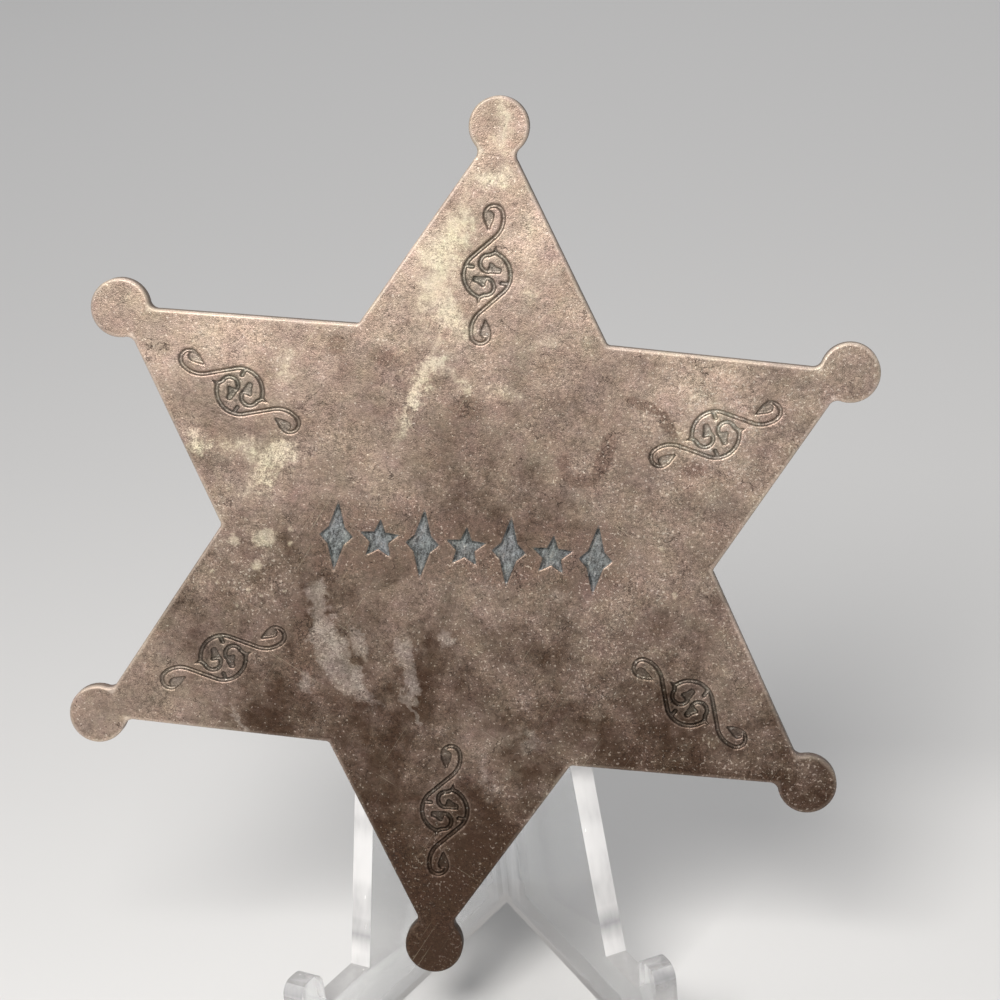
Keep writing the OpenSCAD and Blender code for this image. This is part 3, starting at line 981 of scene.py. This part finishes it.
def cut_edge(name, settings, glow, clearness):
    """A cut edge of the clear plastic, streaked, with painted light piped along it: a glow and a
    paler colour, bright and dim by turns.
    """
    finish = Finish(name)
    point = finish.in_mm()
    streaks = finish.noise(finish.placed(point, scale=(1.0, 1.0, 9.0)), 1.4, 2, 0.5) - 0.5
    drawn_across = finish.placed(point, (0, 0, 3.0), scale=(9.0, 9.0, 1.0))
    # Painted light: bright and dim bands of the glow along the edge.
    glow_bands = finish.noise(drawn_across, 0.17, 2, 0.5).above(0.38, 0.60)
    # Painted shade: a dim band across the rails at one height.
    height = finish.split(point)[2]
    from_dim = abs(height - settings.dim_height / MM) / (settings.dim_reach / MM)
    dim = (1.0 - from_dim).math("MAXIMUM", 0.0)
    light = glow_bands * 0.35 + streaks * 0.35 + 0.62 - dim * 0.5
    tint = finish.blend(light.above(0.0, 1.0), settings.dim_edge, settings.frosted_and_glow)
    # Painted glow: the edge gives off light, though it is no lamp.
    shine = finish.blend(light.above(0.1, 1.0), settings.dim_glow, settings.frosted_and_glow)
    shader = finish.node("BsdfPrincipled", values={
        "Base Color": tint, "Roughness": 0.25 + streaks * 0.1,
        "Transmission Weight": clearness, "IOR": PLASTIC_IOR,
        "Emission Color": shine, "Emission Strength": glow, "Normal": finish.bumped(streaks, 0.01)})
    return finish.finished(shader)


def plain_floor(settings):
    """Pale matt paper."""
    finish = Finish("plain_floor")
    tint = colour(settings.floor_colour)
    shader = finish.node("BsdfPrincipled", values={"Base Color": tint, "Roughness": 0.7})
    return finish.finished(shader)


class BADGE_OT_star_plate(bpy.types.Operator):
    """Make the stamped star plate in aged bronze"""

    bl_idname = "badge.star_plate"
    bl_label = "Star plate"

    def execute(self, context):
        settings = context.scene.badge
        place = face_place(settings)
        plate = stamped_plate(settings, place)
        plate.data.materials.append(aged_bronze(settings, place))
        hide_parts("star_plate")
        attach(plate, "root")
        return {"FINISHED"}


class BADGE_OT_pin_back(bpy.types.Operator):
    """Make the plain pin on the star's back"""

    bl_idname = "badge.pin_back"
    bl_label = "Pin"

    def execute(self, context):
        settings = context.scene.badge
        pin = merged_copy("pin_back", "badge_pin")
        soften(pin, settings.pin_round, 3)
        pin.data.materials.append(pin_metal(settings))
        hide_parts("pin_back")
        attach(pin, "root")
        return {"FINISHED"}


class BADGE_OT_display_easel(bpy.types.Operator):
    """Make the clear easel with its painted glowing edges"""

    bl_idname = "badge.display_easel"
    bl_label = "Display easel"

    def execute(self, context):
        settings = context.scene.easel
        easel = merged_copy("display_easel", "clear_easel")
        soften(easel, settings.edge_round, 3)
        easel.data.materials.append(clear_plastic(settings))
        # The rails' and ledges' cut edges carry painted glow, the rails more strongly.
        easel.data.materials.append(cut_edge("rail_edge", settings, glow=0.28, clearness=0.4))
        easel.data.materials.append(cut_edge("ledge_edge", settings, glow=0.12, clearness=0.9))
        out, back = math.cos(settings.splay), math.sin(settings.splay)
        sheets = [Vector((-out, back, 0)), Vector((out, back, 0))]
        post_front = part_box("display_easel")[1].y - settings.post_depth
        for face in easel.data.polygons:
            broad = max(abs(face.normal.dot(sheet)) for sheet in sheets) > 0.97
            post = face.center.y > post_front and abs(face.normal.z) < 0.5
            sloping = face.normal.y < -0.5 and face.center.z > settings.ledge_height
            rail = sloping or face.normal.z < -0.5
            face.material_index = 0 if broad or post else 1 if rail else 2
        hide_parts("display_easel")
        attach(easel, "root")
        return {"FINISHED"}


def add_light(name, place, target, size, power, tint):
    """A square soft light at a place, aimed at a target."""
    aim = (Vector(target) - Vector(place)).to_track_quat("-Z", "Y").to_euler()
    bpy.ops.object.light_add(type="AREA", location=place, rotation=aim)
    light = bpy.context.active_object
    light.name = name
    light.data.shape = "SQUARE"
    light.data.size = size
    light.data.energy = power
    light.data.color = tint
    light.visible_camera = False


class BADGE_OT_stage(bpy.types.Operator):
    """Set up the floor, the lights and the camera"""

    bl_idname = "badge.stage"
    bl_label = "Stage"

    def execute(self, context):
        settings = context.scene.badge_stage
        bpy.ops.object.select_all(action="DESELECT")
        bpy.ops.mesh.primitive_circle_add(vertices=96, radius=settings.floor_radius,
                                          fill_type="NGON")
        floor = context.active_object
        floor.name = "floor"
        floor.data.materials.append(plain_floor(settings))

        centre = face_place(context.scene.badge).translation
        window, aim = centre + Vector(settings.window_place), centre + Vector(settings.window_aim)
        add_light("window", window, aim, settings.window_size, settings.window_power,
                  (1.0, 0.985, 0.96))
        add_light("ceiling", settings.ceiling_place, (0, 0.2, 0), settings.ceiling_size,
                  settings.ceiling_power, (1.0, 1.0, 1.0))

        world = bpy.data.worlds.new("room")
        world.use_nodes = True
        background = world.node_tree.nodes["Background"]
        background.inputs["Color"].default_value = (*settings.sky, 1.0)
        background.inputs["Strength"].default_value = settings.sky_strength
        context.scene.world = world
        context.scene.view_settings.view_transform = "Standard"

        turn = (Matrix.Rotation(settings.camera_heading, 4, "Z")
                @ Matrix.Rotation(math.pi / 2 - settings.camera_dip, 4, "X")
                @ Matrix.Rotation(settings.camera_roll, 4, "Z"))
        place = centre + Vector(settings.camera_place)
        bpy.ops.object.camera_add(location=place, rotation=turn.to_euler())
        camera = context.active_object
        camera.data.lens = settings.lens
        camera.data.sensor_width = 36
        camera.data.clip_start = 0.01
        context.scene.camera = camera
        return {"FINISHED"}


class BADGE_PT_panel(bpy.types.Panel):
    """Lists the badge's pieces in the sidebar"""

    bl_idname = "BADGE_PT_panel"
    bl_label = "Star Badge"
    bl_space_type = "VIEW_3D"
    bl_region_type = "UI"
    bl_category = "Star Badge"

    def draw(self, context):
        for operator in PIECES:
            self.layout.operator(operator.bl_idname)


PIECES = [BADGE_OT_star_plate, BADGE_OT_pin_back, BADGE_OT_display_easel, BADGE_OT_stage]
GROUPS = {"badge": BadgeSettings, "easel": EaselSettings, "badge_stage": StageSettings}


def register():
    for name, group in GROUPS.items():
        bpy.utils.register_class(group)
        setattr(bpy.types.Scene, name, bpy.props.PointerProperty(type=group))
    for part in PIECES + [BADGE_PT_panel]:
        bpy.utils.register_class(part)


def unregister():
    for part in reversed(PIECES + [BADGE_PT_panel]):
        bpy.utils.unregister_class(part)
    for name, group in GROUPS.items():
        delattr(bpy.types.Scene, name)
        bpy.utils.unregister_class(group)


def main():
    register()
    bpy.ops.badge.star_plate()
    bpy.ops.badge.pin_back()
    bpy.ops.badge.display_easel()
    bpy.ops.badge.stage()


if __name__ == "__main__":
    main()
